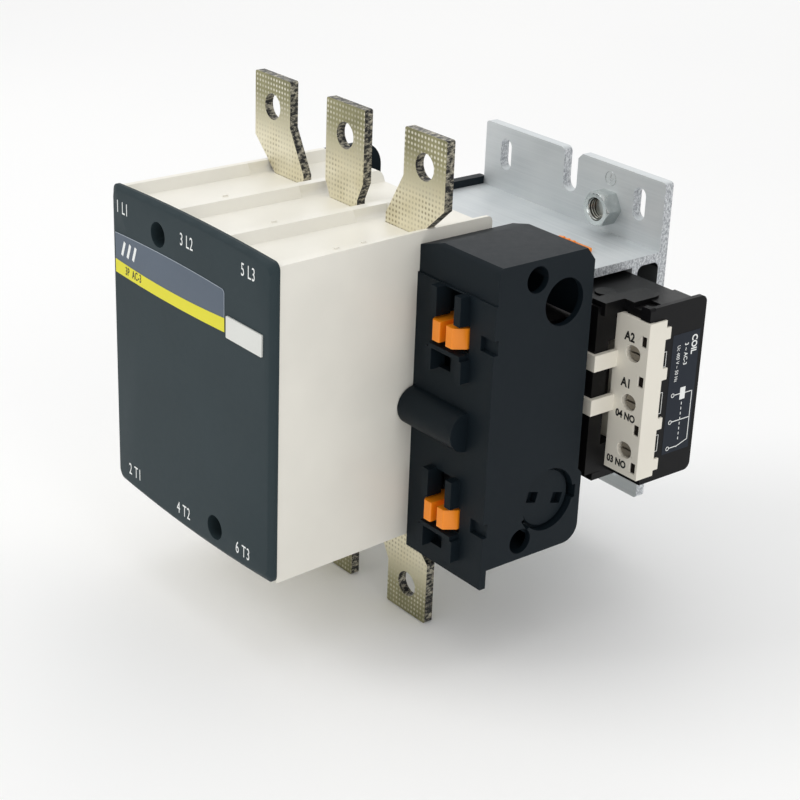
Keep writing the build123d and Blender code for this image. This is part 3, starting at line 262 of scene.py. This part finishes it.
def plain_metal(name, colour, roughness, scratch=0.2, metallic=1.0):
    """Machined or plated metal with small scratches and stains."""
    n = Nodes(name)
    stain = n.noise(220.0, 4.0, 0.6)
    stained = n.mix(n.ramp(stain, 0.3, 0.7), shade(colour, 0.82), colour)
    gloss = n.ramp(stain, 0.3, 0.7, roughness, roughness + 0.15)
    normal = n.bump(n.noise(1800.0, 3.0), scratch, 0.0001)
    return n.finish(stained, gloss, normal, Metallic=metallic)


def threaded_steel():
    """Plated steel with the turns of a thread along Y."""
    n = Nodes("threaded_steel")
    stain = n.noise(240.0, 3.0)
    colour = n.mix(n.ramp(stain, 0.3, 0.7), srgb(176, 180, 178), srgb(206, 208, 204))
    gloss = n.ramp(stain, 0.3, 0.7, 0.24, 0.36)
    return n.finish(colour, gloss, n.bump(n.thread(THREAD_PITCH), 1.0, 0.0004), Metallic=1.0)


def threaded_nut():
    """Plated nut: plain flats, and the turns of a thread in its bore, with painted shade in the thread's
    grooves.
    """
    n = Nodes("threaded_nut")
    middle = sum(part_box("earth_nut"), Vector()) / 2
    place = n.axes()
    offsets = [n.math("POWER", n.math("SUBTRACT", place[axis], getattr(middle, axis.lower())), 2.0)
               for axis in "XZ"]
    radius = n.math("SQRT", n.math("ADD", *offsets))
    bore = n.ramp(radius, 4.5 * MM, 4.3 * MM)
    turn = n.thread(THREAD_PITCH)
    stain = n.noise(260.0, 4.0, 0.6)
    plated = n.mix(n.ramp(stain, 0.3, 0.7), srgb(186, 192, 192), srgb(216, 220, 218))
    # painted shade: the thread's grooves in the bore are darkened, where shade falls
    painted_groove_shade = n.mix(n.ramp(turn, -0.6, 0.6), srgb(60, 60, 54), srgb(214, 214, 206))
    gloss = n.ramp(stain, 0.3, 0.7, 0.16, 0.3)
    normal = n.bump(n.math("MULTIPLY", turn, bore), 0.8, 0.0003)
    return n.finish(n.mix(bore, plated, painted_groove_shade), gloss, normal, Metallic=1.0)


def laminated_steel():
    """Edges of thin stacked sheets, seen as fine lines across X."""
    n = Nodes("laminated_steel")
    share = n.math("FRACT", n.math("DIVIDE", n.axes()["X"], LAMINATION))
    gap = n.ramp(n.math("ABSOLUTE", n.math("SUBTRACT", share, 0.5)), 0.36, 0.48)
    stain = n.noise(160.0, 3.0)
    sheet = n.mix(n.ramp(stain, 0.3, 0.7), srgb(58, 56, 56), srgb(84, 82, 80))
    colour = n.mix(gap, sheet, srgb(34, 32, 32))
    gloss = n.ramp(stain, 0.3, 0.7, 0.5, 0.62)
    return n.finish(colour, gloss, n.bump(gap, 0.4, 0.0001), Metallic=0.9)


def wound_wire():
    """Turns of enamelled wire under a clear tape."""
    n = Nodes("wound_wire")
    turn = n.thread(WIRE_PITCH)
    stain = n.noise(130.0, 3.0)
    tone = n.mix(n.ramp(stain, 0.3, 0.7), srgb(150, 72, 34), srgb(184, 96, 48))
    colour = n.mix(n.ramp(turn, -1.0, 0.4), srgb(90, 40, 20), tone)
    gloss = n.ramp(stain, 0.3, 0.7, 0.3, 0.4)
    return n.finish(colour, gloss, n.bump(turn, 0.6, 0.0001), Metallic=0.6)


SLATE = srgb(46, 58, 62)
MODULE = srgb(18, 27, 33)
CREAM = srgb(238, 235, 225)
BLACK = srgb(15, 15, 16)
ORANGE = srgb(255, 146, 24)
SHEEN = {"Specular_IOR_Level": 0.14}

MATERIALS = {
    "aluminium": extruded_aluminium(),
    "tinned_terminal": tinned_copper(),
    "slate_cover": moulded_plastic("slate_plastic", SLATE, 0.5, 0.16, **SHEEN),
    "label_blue": moulded_plastic("label_blue", srgb(72, 86, 102), 0.42, 0.05, 0.03),
    "marker_white": moulded_plastic("marker_white", srgb(220, 221, 216), 0.4, 0.05, 0.03),
    "cream_housing": moulded_plastic("cream_plastic", CREAM, 0.36, 0.08, 0.03),
    "dark_moulding": moulded_plastic("module_plastic", MODULE, 0.5, 0.16, **SHEEN),
    "orange_plastic": moulded_plastic("orange_plastic", ORANGE, 0.32, 0.05, 0.05),
    "coil_black": moulded_plastic("coil_plastic", BLACK, 0.34, 0.1, **SHEEN),
    "coil_cream": moulded_plastic("strip_plastic", srgb(234, 229, 216), 0.4, 0.06, 0.02),
    "coil_label": moulded_plastic("label_plate_plastic", srgb(14, 14, 16), 0.42, 0.08, **SHEEN),
    "zinc_screw": plain_metal("zinc_plate", srgb(205, 205, 200), 0.25),
    "earth_steel": plain_metal("earth_steel", srgb(200, 204, 204), 0.18, 0.12),
    "core_steel": laminated_steel(),
    "ring_copper": wound_wire(),
    "silver_contact": plain_metal("silver_alloy", srgb(226, 224, 218), 0.3, 0.25),
    "bridge_copper": plain_metal("bare_copper", srgb(205, 130, 92), 0.3),
    "splitter_steel": plain_metal("splitter_steel", srgb(150, 150, 150), 0.4),
    "chute_board": moulded_plastic("chute_board", srgb(150, 100, 74), 0.7, 0.3),
    "carrier_plastic": moulded_plastic("carrier_plastic", srgb(34, 36, 40), 0.5, 0.16),
    "bobbin_plastic": moulded_plastic("bobbin_plastic", srgb(222, 216, 200), 0.45),
    "pad_rubber": moulded_plastic("pad_rubber", srgb(30, 30, 30), 0.8, 0.3),
    "spring_steel": plain_metal("spring_steel", srgb(190, 190, 188), 0.25, 0.1),
}
PRINT_WHITE = moulded_plastic("print_white", srgb(240, 242, 240), 0.5, 0.04, 0.02)
PRINT_BLACK = moulded_plastic("print_black", srgb(22, 22, 22), 0.5, 0.04, 0.02)
PRINT_YELLOW = moulded_plastic("print_yellow", srgb(226, 218, 0), 0.4, 0.04, 0.03)
PRINT_NAVY = moulded_plastic("print_navy", srgb(32, 38, 48), 0.4, 0.04, 0.04, **SHEEN)
PRINT_GREY = moulded_plastic("print_grey", srgb(176, 184, 192), 0.45, 0.04, 0.03)
WINDOW_SHADE_FILL = moulded_plastic("window_shade_fill", srgb(26, 20, 16), 0.6, 0.06, 0.04, **SHEEN)
SCREW_GREY = plain_metal("terminal_screw_zinc", srgb(150, 142, 128), 0.5, 0.2, 0.4)
OWN_SURFACE = {"earth_stud": threaded_steel(), "earth_nut": threaded_nut(),
               "coil_terminal_screws": SCREW_GREY}


# ---------------------------------------------------------------- carried-over parts
def soften(node, width):
    """Rounds the sharp moulded or cut edges of a CAD part, without touching its mesh."""
    part = frame["nodes"][node]
    weld = part.modifiers.new("weld", "WELD")
    weld.merge_threshold = 1e-6
    bevel = part.modifiers.new("edges", "BEVEL")
    bevel.width = width
    bevel.segments = 3
    bevel.limit_method = "ANGLE"
    bevel.angle_limit = math.radians(35)
    bevel.miter_outer = "MITER_ARC"
    normals = part.modifiers.new("normals", "WEIGHTED_NORMAL")
    normals.keep_sharp = False


EDGES = {                 # edge radius: the parts that have it
    0.22 * MM: ("base_extrusion", "left_end_plate", "marker_plate", "earth_nut", "coil_label_plate"),
    0.3 * MM: ("line_terminal_1", "line_terminal_2", "line_terminal_3", "load_terminal_1",
               "load_terminal_2", "load_terminal_3", "locking_cap", "coil_terminal_block"),
    0.4 * MM: ("pole_base", "coil_housing", "coil_latch", "magnet_cover", "pole_housing", "front_cover",
               "auxiliary_coupler_upper", "auxiliary_coupler_lower"),
}


def dress_parts():
    """Gives each CAD part its own surface and its edge radius."""
    for row in frame["record"]["subparts"]:
        mesh = frame["nodes"][row["node"]].data
        mesh.materials.clear()
        mesh.materials.append(OWN_SURFACE.get(row["node"]) or MATERIALS[row["material_slot"]])
    for width, nodes in EDGES.items():
        for node in nodes:
            soften(node, width)


# ---------------------------------------------------------------- new pieces
def settle(piece, material, body):
    """Links a new piece, gives it its surface and makes it ride on its body."""
    bpy.context.scene.collection.objects.link(piece)
    piece.data.materials.append(material)
    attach(piece, body)
    return piece


def settle_shape(name, shape, material, body):
    """Turns a bmesh into a new piece."""
    mesh = bpy.data.meshes.new(name)
    shape.to_mesh(mesh)
    shape.free()
    return settle(bpy.data.objects.new(name, mesh), material, body)


def slab(name, low, high, material, body, radius=0.2 * MM):
    """Rounded block between two corners given in metres."""
    low, high = Vector(low), Vector(high)
    shape = bmesh.new()
    size = high - low
    bmesh.ops.create_cube(shape, size=1.0, matrix=Matrix.Translation((low + high) / 2)
                          @ Matrix.Diagonal((*size, 1.0)))
    radius = min(radius, min(size) * 0.45)
    bmesh.ops.bevel(shape, geom=shape.edges[:], offset=radius, segments=2, affect="EDGES")
    return settle_shape(name, shape, material, body)


FRONT = Matrix.Rotation(math.radians(90), 4, "X")
RIGHT = Matrix.Rotation(math.radians(90), 4, "Z") @ FRONT
RIGHT_SIDEWAYS = RIGHT @ Matrix.Rotation(math.radians(-90), 4, "Z")
CAPITAL_SHARE = 0.72      # height of a capital letter over the font's size


def printed(name, words, place, height, facing, material, body, narrow=0.86, weight=0.0, gap=1.0):
    """Printed characters centred on a place; height is that of a capital letter."""
    curve = bpy.data.curves.new(name, "FONT")
    curve.body = words
    curve.size = height / CAPITAL_SHARE
    curve.align_x = "CENTER"
    curve.align_y = "CENTER"
    curve.space_character = gap
    curve.extrude = PRINT_THICK / 2
    curve.offset = weight
    curve.resolution_u = 4
    text = bpy.data.objects.new(name, curve)
    text.matrix_world = Matrix.Translation(place) @ facing @ Matrix.Diagonal((narrow, 1, 1, 1))
    return settle(text, material, body)


def wire(name, points, radius, material, body, closed=False):
    """Round line through points given in metres."""
    curve = bpy.data.curves.new(name, "CURVE")
    curve.dimensions = "3D"
    curve.bevel_depth = radius
    curve.bevel_resolution = 2
    line = curve.splines.new("POLY")
    line.points.add(len(points) - 1)
    line.use_cyclic_u = closed
    for target, point in zip(line.points, points):
        target.co = (*point, 1.0)
    return settle(bpy.data.objects.new(name, curve), material, body)


def ring_points(centre, radius, side, up, count=24):
    """Points round a circle spanned by two unit directions."""
    turns = [2 * math.pi * step / count for step in range(count)]
    return [Vector(centre) + radius * (math.cos(turn) * Vector(side) + math.sin(turn) * Vector(up))
            for turn in turns]


def bow(share, rise):
    """Height of a shallow arc at a share of its length."""
    return rise * (1 - (2 * share - 1) ** 2)


def cover_print():
    """Terminal markings on the front cover, over and under each pole."""
    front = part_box("front_cover")[0].y
    marks = {"1 L1": (-60.7, 57.0), "3 L2": (-15.5, 56.8), "5 L3": (24.4, 57.4),
             "2 T1": (-55.4, -52.4), "4 T2": (-19.4, -54.4), "6 T3": (21.6, -53.8)}
    for words, (x, z) in marks.items():
        place = (x * MM, front - PRINT_THICK / 2, z * MM)
        name = "cover_mark_" + words.replace(" ", "_")
        printed(name, words, place, 5.0 * MM, FRONT, PRINT_WHITE, "frame", 0.66, 0.0, 1.12)


LABEL_BOW = 0.9 * MM      # how far the label's long edges rise towards the middle
BAND_HEIGHT = 5.4 * MM
BAND_BOW = 1.4 * MM
LABEL_STEPS = 24          # stretches that each bowed line is made of


def label_print():
    """Print on the bowed front label: yellow band, edge line, generic rating and three strokes."""
    low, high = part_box("front_label")
    label_band(low, high)
    label_line(low, high)
    rating_place = (low.x + 13 * MM, low.y - PRINT_THICK * 1.5, low.z + BAND_HEIGHT / 2 + 0.45 * MM)
    printed("label_rating", "3P  AC-3", rating_place, 3.3 * MM, FRONT, PRINT_BLACK, "frame",
            0.62, 0.05 * MM, 1.1)
    for step in range(3):
        place = Vector((low.x + (6.0 + 4.0 * step) * MM, low.y - PRINT_THICK / 2, high.z - 6.2 * MM))
        lean = Vector((1.1 * MM, 0, 2.9 * MM))
        stroke(f"label_pole_{step + 1}", place - lean, place + lean, 1.4 * MM, (0, 1, 0), PRINT_WHITE,
               "frame", "label_blue")


def label_band(low, high):
    """Thin yellow strip along the label's bowed lower edge."""
    back, front = low.y, low.y - PRINT_THICK
    shape = bmesh.new()
    rows = []
    for step in range(LABEL_STEPS + 1):
        share = step / LABEL_STEPS
        x = low.x + share * (high.x - low.x)
        bottom = low.z + LABEL_BOW - bow(share, LABEL_BOW)
        top = low.z + LABEL_BOW + BAND_HEIGHT - bow(share, BAND_BOW)
        section = ((front, bottom), (back, bottom), (back, top), (front, top))
        rows.append([shape.verts.new((x, y, z)) for y, z in section])
    for first, second in zip(rows, rows[1:]):
        for corner in range(4):
            after = (corner + 1) % 4
            shape.faces.new((first[corner], first[after], second[after], second[corner]))
    shape.faces.new(rows[0][::-1])
    shape.faces.new(rows[-1])
    bmesh.ops.recalc_face_normals(shape, faces=shape.faces[:])
    settle_shape("label_band", shape, PRINT_YELLOW, "frame")


def label_line(low, high):
    """Light line along the label's top edge, round its corner and down its right edge."""
    radius, inset = 1.6 * MM, 0.15 * MM
    y = low.y + 0.05 * MM
    points = []
    for step in range(LABEL_STEPS + 1):
        share = step / LABEL_STEPS * (1 - radius / (high.x - low.x))
        x = low.x + share * (high.x - low.x)
        points.append((max(x, low.x + inset), y, high.z - LABEL_BOW + bow(share, LABEL_BOW) - inset))
    corner = Vector((high.x - radius, y, high.z - LABEL_BOW - radius))
    for degrees in range(90, -1, -15):
        turn = math.radians(degrees)
        reach = radius - inset
        points.append(corner + Vector((reach * math.cos(turn), 0, reach * math.sin(turn))))
    points.append((high.x - inset, y, low.z + LABEL_BOW + BAND_HEIGHT))
    wire("label_line", points, 0.13 * MM, PRINT_GREY, "frame")


def stroke(name, start, end, width, facing, material, body, slot):
    """Flat printed line between two places on a face whose normal is along facing."""
    start, end, facing = Vector(start), Vector(end), Vector(facing)
    across = (end - start).cross(facing).normalized() * width / 2
    lift = facing * PRINT_THICK / 2
    shape = bmesh.new()
    corners = [shape.verts.new(base + side * across + level * lift) for level in (-1, 1)
               for base, side in ((start, -1), (start, 1), (end, 1), (end, -1))]
    faces = ((0, 1, 2, 3), (7, 6, 5, 4), (0, 4, 5, 1), (1, 5, 6, 2), (2, 6, 7, 3), (3, 7, 4, 0))
    for face in faces:
        shape.faces.new([corners[index] for index in face])
    bmesh.ops.recalc_face_normals(shape, faces=shape.faces[:])
    return settle_shape(name, shape, material, body)


def strip_print():
    """Markings on the coil's terminal strip, and dark slabs behind its small windows that stand in for
    the shade in them.
    """
    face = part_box("coil_label_plate")[0].y - 0.5 * MM
    marks = {"A2": (84.6, 24.9, 3.6), "A1": (84.8, 6.3, 3.6), "04 NO": (85.9, -7.0, 2.9),
             "03 NO": (83.4, -27.0, 2.9)}
    for words, (x, z, height) in marks.items():
        place = (x * MM, face - PRINT_THICK / 2, z * MM)
        name = "strip_mark_" + words.replace(" ", "_")
        printed(name, words, place, height * MM, FRONT, PRINT_BLACK, "coil_unit",
                0.88, 0.17 * MM)
    # painted shade: near-black slabs put behind the windows, where there is only shade
    reach = Vector((1.2, 1.15, 2.0)) * MM
    for index, z in enumerate((25.2, 9.1, -10.8, -26.6)):
        middle = Vector((92.0 * MM, face + 1.55 * MM, z * MM))
        slab(f"strip_shade_fill_{index + 1}", middle - reach, middle + reach, WINDOW_SHADE_FILL, "coil_unit")


LINE_WIDTH = 0.35         # millimetres, as all of the diagram's sizes
OUTLINE_R = 0.16 * MM


def plate_print():
    """Printed panel on the label plate: generic text and the coil's connection diagram."""
    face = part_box("coil_label_plate")[1].x
    slab("label_panel", (face - 0.1 * MM, -36.0 * MM, -24.2 * MM),
         (face + PRINT_THICK, -21.3 * MM, 25.3 * MM), PRINT_NAVY, "coil_unit")
    print_x = face + PRINT_THICK * 1.5
    texts = {"COIL": (-24.2, 19.6, 2.9, 0.12), "3 ~ AC-3": (-28.3, 16.4, 2.0, 0.03),
             "Uc 400 V ~ 50 Hz": (-32.4, 13.2, 1.7, 0.0)}
    for words, (y, z, height, weight) in texts.items():
        name = "plate_text_" + words.split()[0].lower()
        printed(name, words, (print_x, y * MM, z * MM), height * MM, RIGHT_SIDEWAYS, PRINT_WHITE,
                "coil_unit", 0.86, weight * MM)
    for name, (start, end, width) in diagram_lines().items():
        places = [(print_x, y * MM, z * MM) for y, z in (start, end)]
        stroke("plate_" + name, *places, width * MM, (1, 0, 0), PRINT_WHITE, "coil_unit", "coil_label")
    for index, z in enumerate((0.2, -11.0, -22.1)):
        centre = (face + PRINT_THICK, -33.1 * MM, z * MM)
        wire(f"plate_node_{index + 1}", ring_points(centre, 0.75 * MM, (0, 1, 0), (0, 0, 1)), OUTLINE_R,
             PRINT_WHITE, "coil_unit", closed=True)
    edge, inner = -38.9 * MM, -40.5 * MM
    for index, (top, bottom) in enumerate(((19.6, 13.6), (3.0, -5.6), (-14.6, -21.4))):
        corners = ((inner, top), (edge, top), (edge, bottom), (inner, bottom))
        points = [(face, y, z * MM) for y, z in corners]
        wire(f"plate_outline_{index + 1}", points, OUTLINE_R, PRINT_WHITE, "coil_unit")


def diagram_lines():
    """Straight lines of the diagram: start, end and width in millimetres along Y and Z."""
    lines = {
        "coil_box": ((-27.8, 2.6), (-27.8, -2.4), 2.8),
        "coil_lead": ((-32.0, 0.2), (-29.2, 0.2), LINE_WIDTH),
        "bus_lead": ((-26.4, 0.0), (-22.6, 0.0), LINE_WIDTH),
        "bus": ((-22.6, 0.15), (-22.6, -20.6), LINE_WIDTH),
        "middle": ((-32.2, -11.0), (-22.6, -11.0), LINE_WIDTH),
        "foot": ((-32.4, -22.1), (-28.6, -22.1), LINE_WIDTH),
        "blade": ((-28.6, -22.3), (-22.6, -20.4), LINE_WIDTH),
    }
    for step in range(8):
        top = -3.6 - 2.1 * step
        lines[f"dash_{step}"] = ((-27.8, top), (-27.8, top - 1.1), LINE_WIDTH)
    return lines


def coil_leads():
    """Two bare ends of the winding, led to the outer terminal clamps."""
    for index, z in enumerate((18.9, -1.0)):
        route = ((82.0, z - 4.0), (83.4, z - 3.0), (84.2, z - 1.5), (85.0, z - 0.4))
        points = [(x * MM, -43.0 * MM, height * MM) for x, height in route]
        wire(f"coil_lead_{index + 1}", points, 0.45 * MM, MATERIALS["ring_copper"], "coil_unit")


def earth_symbol():
    """Stamped earth symbol on the plate above the nut."""
    low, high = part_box("earth_nut")
    face = high.y
    centre = ((low.x + high.x) / 2, face, high.z + 5.1 * MM)
    stamped = MATERIALS["earth_steel"]
    wire("earth_ring", ring_points(centre, 2.9 * MM, (1, 0, 0), (0, 0, 1)), 0.13 * MM, stamped, "frame",
         closed=True)
    bars = [((0, 2.1), (0, 0.1))]
    bars += [((-half, height), (half, height)) for half, height in ((1.7, 0.1), (1.1, -0.7), (0.5, -1.5))]
    for index, bar in enumerate(bars):
        points = [(centre[0] + x * MM, face, centre[2] + z * MM) for x, z in bar]
        wire(f"earth_bar_{index + 1}", points, 0.13 * MM, stamped, "frame")


def housing_nubs():
    """Small moulded nubs on the crests between the troughs of the cream housing, above and below."""
    low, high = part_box("pole_housing")
    reach = Vector((0.8, 1.5, 0.6)) * MM
    for side, z in (("top", high.z), ("bottom", low.z)):
        for index, (x, y) in enumerate(((-35.9, -150.0), (-0.9, -152.0), (34.7, -150.0), (34.7, -138.0))):
            middle = Vector((x * MM, y * MM, z))
            slab(f"housing_nub_{side}_{index + 1}", middle - reach, middle + reach,
                 MATERIALS["cream_housing"], "frame", 0.5 * MM)


def stage():
    """Pale floor just under the object's lowest point."""
    low = CAD_BOX[0]
    bpy.ops.mesh.primitive_plane_add(size=12.0, location=(0, 0, low.z - 0.4 * MM))
    floor = bpy.context.object
    floor.name = "floor"
    n = Nodes("floor")
    cloud = n.noise(3.0, 2.0)
    colour = n.mix(cloud, srgb(248, 248, 248), srgb(251, 251, 250))
    floor.data.materials.append(n.finish(colour, n.ramp(cloud, 0.3, 0.7, 0.85, 0.9)))


def area_light(name, place, target, size, power):
    """Soft rectangular light that looks at a target."""
    data = bpy.data.lights.new(name, "AREA")
    data.shape = "RECTANGLE"
    data.size, data.size_y = size
    data.energy = power
    lamp = bpy.data.objects.new(name, data)
    bpy.context.scene.collection.objects.link(lamp)
    lamp.location = place
    lamp.rotation_mode = "QUATERNION"
    lamp.rotation_quaternion = (Vector(target) - Vector(place)).to_track_quat("-Z", "Y")


def lights():
    """White surroundings and four soft lights round the object."""
    world = bpy.data.worlds.new("studio")
    world.use_nodes = True
    world.node_tree.nodes["Background"].inputs["Color"].default_value = (1.0, 1.0, 1.0, 1.0)
    world.node_tree.nodes["Background"].inputs["Strength"].default_value = 0.68
    bpy.context.scene.world = world
    middle = (0.0, -0.09, 0.0)
    area_light("key", (-0.9, -1.2, 1.1), middle, (0.9, 0.9), 8.0)
    area_light("top", (-0.1, 0.1, 1.5), middle, (1.4, 1.4), 5.0)
    area_light("back", (-1.1, 1.3, 0.7), middle, (1.4, 1.0), 3.0)
    area_light("side", (1.5, -0.3, 0.7), middle, (0.7, 1.0), 3.0)
    bpy.context.scene.view_settings.view_transform = "Standard"


CAMERA_PLACE = (0.5327, -0.5251, 0.2824)
CAMERA_AZIMUTH = math.radians(50.76)      # turned from the front towards the right
CAMERA_ELEVATION = math.radians(23.89)
CAMERA_ROLL = math.radians(2.3)
CAMERA_LENS = 84.2


def camera():
    """Seen from the front right and above."""
    data = bpy.data.cameras.new("camera")
    data.lens = CAMERA_LENS
    eye = bpy.data.objects.new("camera", data)
    bpy.context.scene.collection.objects.link(eye)
    eye.location = CAMERA_PLACE
    level = math.cos(CAMERA_ELEVATION)
    back = Vector((math.sin(CAMERA_AZIMUTH) * level, -math.cos(CAMERA_AZIMUTH) * level,
                   math.sin(CAMERA_ELEVATION)))
    eye.rotation_mode = "QUATERNION"
    eye.rotation_quaternion = (-back).to_track_quat("-Z", "Y")
    eye.rotation_quaternion @= Matrix.Rotation(CAMERA_ROLL, 3, "Z").to_quaternion()
    bpy.context.scene.camera = eye


dress_parts()
cover_print()
label_print()
strip_print()
plate_print()
coil_leads()
earth_symbol()
housing_nubs()
stage()
lights()
camera()
